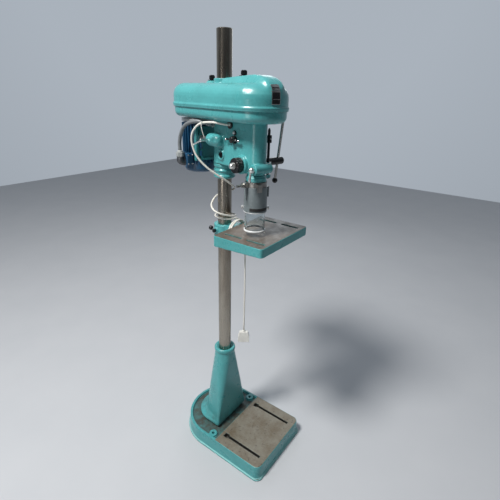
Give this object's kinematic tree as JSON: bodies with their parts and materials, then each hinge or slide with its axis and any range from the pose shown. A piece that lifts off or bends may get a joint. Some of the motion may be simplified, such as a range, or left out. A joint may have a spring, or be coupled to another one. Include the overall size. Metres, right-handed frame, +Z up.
{
  "type": "pillar drill",
  "caption": "Floor-standing pillar drill: cast base and column, swinging table and belt-driven head with quill feed, depth stop and clear chuck guard.",
  "frame": {"origin": "on the column's axis at floor level", "axes": "+Z up the column, -Y towards the operator, +X to the operator's right; the head is stored swung 14.5 degrees about the column"},
  "size_m": [0.358, 0.5941, 1.725],
  "materials": {
    "teal_enamel": "gloss enamel on cast iron and pressed steel",
    "column_steel": "ground steel, dulled with age",
    "chrome": "bright plated",
    "bright_steel": "turned steel",
    "black_plastic": "moulded black phenolic",
    "blackened_steel": "oil-blacked steel",
    "motor_blue": "satin motor paint",
    "grey_enamel": "worn grey enamel",
    "grey_plastic": "moulded grey plastic",
    "aluminium": "turned casting",
    "clear_tube": "clear acrylic tube",
    "white_pvc": "flexible white sheath",
    "white_plug": "moulded white plug",
    "belt_rubber": "matt black",
    "lamp_lens": "chrome bezel with a pale lens"
  },
  "bodies": {
    "root": {"base_plate": "teal_enamel", "pedestal": "teal_enamel", "column": "column_steel", "pedestal_fixings": "bright_steel"},
    "table_collar": {"table_collar": "teal_enamel"},
    "table": {"table": "teal_enamel"},
    "table_clamp": {"table_clamp_lever": "blackened_steel"},
    "head_collar": {"head_collar": "teal_enamel", "mains_cord": "white_pvc", "plug": "white_plug"},
    "head": {"head_casting": "teal_enamel", "head_clamp_bolt": "blackened_steel", "belt_guard_tray": "teal_enamel", "switch_body": "black_plastic", "pilot_lamp": "lamp_lens", "cable_grommet": "black_plastic", "conduit": "grey_plastic", "conduit_gland": "grey_plastic", "sleeve_bearings": "bright_steel", "v_belt": "belt_rubber", "spring_housing": "black_plastic", "return_spring": "bright_steel"},
    "lid": {"belt_guard_lid": "teal_enamel", "badge_plate": "chrome"},
    "knob_front": {"lid_knob_front": "black_plastic"},
    "knob_rear": {"lid_knob_rear": "black_plastic"},
    "switch": {"switch_knob": "black_plastic"},
    "quill_lock": {"quill_lock_lever": "chrome"},
    "tension_lock": {"tension_lock_lever": "chrome"},
    "motor_mount": {"slide_bars": "bright_steel", "motor_plate": "teal_enamel", "motor_frame": "motor_blue", "motor_top_cover": "aluminium", "motor_fan_cover": "motor_blue", "terminal_box": "grey_plastic"},
    "rotor": {"motor_rotor": "bright_steel", "motor_fan": "black_plastic", "motor_pulley": "aluminium"},
    "drive": {"drive_sleeve": "bright_steel", "spindle_pulley": "aluminium"},
    "feed": {"feed_shaft": "bright_steel", "feed_hub": "blackened_steel", "feed_lever": "bright_steel", "lever_balls": "black_plastic", "shaft_nut": "chrome"},
    "quill": {"quill": "chrome", "quill_bearings": "bright_steel", "depth_stop_ring": "teal_enamel", "depth_rod": "blackened_steel", "guard_clamp": "grey_enamel", "guard_shell": "grey_enamel", "guard_screws": "chrome"},
    "depth_nuts": {"depth_nuts": "blackened_steel"},
    "guard_tube": {"guard_tube": "clear_tube"},
    "spindle": {"spindle": "bright_steel", "chuck_body": "bright_steel"},
    "chuck_sleeve": {"chuck_sleeve": "bright_steel"},
    "jaw_1": {"chuck_jaw_1": "bright_steel"},
    "jaw_2": {"chuck_jaw_2": "bright_steel"},
    "jaw_3": {"chuck_jaw_3": "bright_steel"}
  },
  "joints": [
    {"name": "table_height", "type": "slide", "parent": "root", "child": "table_collar", "axis": [0, 0, 1], "range_m": [-0.42, 0.015]},
    {"name": "table_swing", "type": "hinge", "parent": "table_collar", "child": "table", "pos_m": [0, 0, 1], "axis": [0, 0, 1], "range_deg": [-60, 60]},
    {"name": "table_clamp", "type": "hinge", "parent": "table", "child": "table_clamp", "pos_m": [-0.042, 0.009, 1.027], "axis": [-1, 0, 0], "range_deg": [-90, 45]},
    {"name": "head_height", "type": "slide", "parent": "root", "child": "head_collar", "axis": [0, 0, 1], "range_m": [-0.015, 0.14]},
    {"name": "head_swing", "type": "hinge", "parent": "head_collar", "child": "head", "pos_m": [0, 0, 1.36], "axis": [0, 0, 1], "range_deg": [-45, 45], "deforming": ["mains_cord"]},
    {"name": "quill_feed", "type": "slide", "parent": "head", "child": "quill", "axis": [0, 0, -1], "range_m": [0, 0.064], "stiffness_N_per_m": 700, "springref_m": -0.2},
    {"name": "feed_spin", "type": "hinge", "parent": "head", "child": "feed", "pos_m": [-0.038, -0.14692, 1.304], "axis": [0.9681, -0.2504, 0], "range_deg": [0, 367]},
    {"name": "guard_telescope", "type": "slide", "parent": "quill", "child": "guard_tube", "axis": [0, 0, 1], "range_m": [0, 0.064]},
    {"name": "depth_nut_travel", "type": "slide", "parent": "quill", "child": "depth_nuts", "axis": [0, 0, 1], "range_m": [-0.06, 0.017]},
    {"name": "spindle_spin", "type": "hinge", "parent": "quill", "child": "spindle", "pos_m": [-0.04632, -0.17911, 1.3], "axis": [0, 0, 1], "continuous": true},
    {"name": "drive_spin", "type": "hinge", "parent": "head", "child": "drive", "pos_m": [-0.04632, -0.17911, 1.3], "axis": [0, 0, 1], "continuous": true},
    {"name": "motor_slide", "type": "slide", "parent": "head", "child": "motor_mount", "axis": [0.2504, 0.9681, 0], "range_m": [-0.012, 0], "deforming": ["conduit"]},
    {"name": "motor_spin", "type": "hinge", "parent": "motor_mount", "child": "rotor", "pos_m": [0.04206, 0.16265, 1.3], "axis": [0, 0, 1], "continuous": true},
    {"name": "chuck_sleeve_turn", "type": "hinge", "parent": "spindle", "child": "chuck_sleeve", "pos_m": [-0.04632, -0.17911, 1.3], "axis": [0, 0, 1], "range_deg": [-810, 3240]},
    {"name": "jaw_1_travel", "type": "slide", "parent": "spindle", "child": "jaw_1", "axis": [0.2004, 0.0556, 0.9781], "range_m": [-0.0046, 0.0181]},
    {"name": "jaw_2_travel", "type": "slide", "parent": "spindle", "child": "jaw_2", "axis": [-0.1483, 0.1457, 0.9781], "range_m": [-0.0046, 0.0181]},
    {"name": "jaw_3_travel", "type": "slide", "parent": "spindle", "child": "jaw_3", "axis": [-0.0521, -0.2013, 0.9781], "range_m": [-0.0046, 0.0181]},
    {"name": "switch_turn", "type": "hinge", "parent": "head", "child": "switch", "pos_m": [-0.07885, -0.09323, 1.3815], "axis": [-0.9681, 0.2504, 0], "range_deg": [-45, 0]},
    {"name": "quill_lock_turn", "type": "hinge", "parent": "head", "child": "quill_lock", "pos_m": [-0.09812, -0.19567, 1.296], "axis": [0.9681, -0.2504, 0], "range_deg": [-40, 40]},
    {"name": "tension_lock_turn", "type": "hinge", "parent": "head", "child": "tension_lock", "pos_m": [-0.09191, 0.03203, 1.371], "axis": [0.9681, -0.2504, 0], "range_deg": [-60, 60]},
    {"name": "lid_lift", "type": "slide", "parent": "head", "child": "lid", "axis": [0, 0, 1], "range_m": [0, 0.09]},
    {"name": "knob_front_turn", "type": "hinge", "parent": "lid", "child": "knob_front", "pos_m": [-0.02729, -0.10553, 1.59], "axis": [0, 0, 1], "continuous": true},
    {"name": "knob_rear_turn", "type": "hinge", "parent": "lid", "child": "knob_rear", "pos_m": [0.01928, 0.07455, 1.57], "axis": [0, 0, 1], "continuous": true}
  ],
  "couplings": [
    {"joint": "feed_spin", "follows": "quill_feed", "rad_per_m": 100},
    {"joint": "guard_telescope", "follows": "quill_feed", "ratio": 1},
    {"joint": "drive_spin", "follows": "motor_spin", "ratio": 0.79592},
    {"joint": "spindle_spin", "follows": "motor_spin", "ratio": 0.79592},
    {"joint": "jaw_1_travel", "follows": "chuck_sleeve_turn", "m_per_rad": 0.00031831},
    {"joint": "jaw_2_travel", "follows": "chuck_sleeve_turn", "m_per_rad": 0.00031831},
    {"joint": "jaw_3_travel", "follows": "chuck_sleeve_turn", "m_per_rad": 0.00031831}
  ]
}
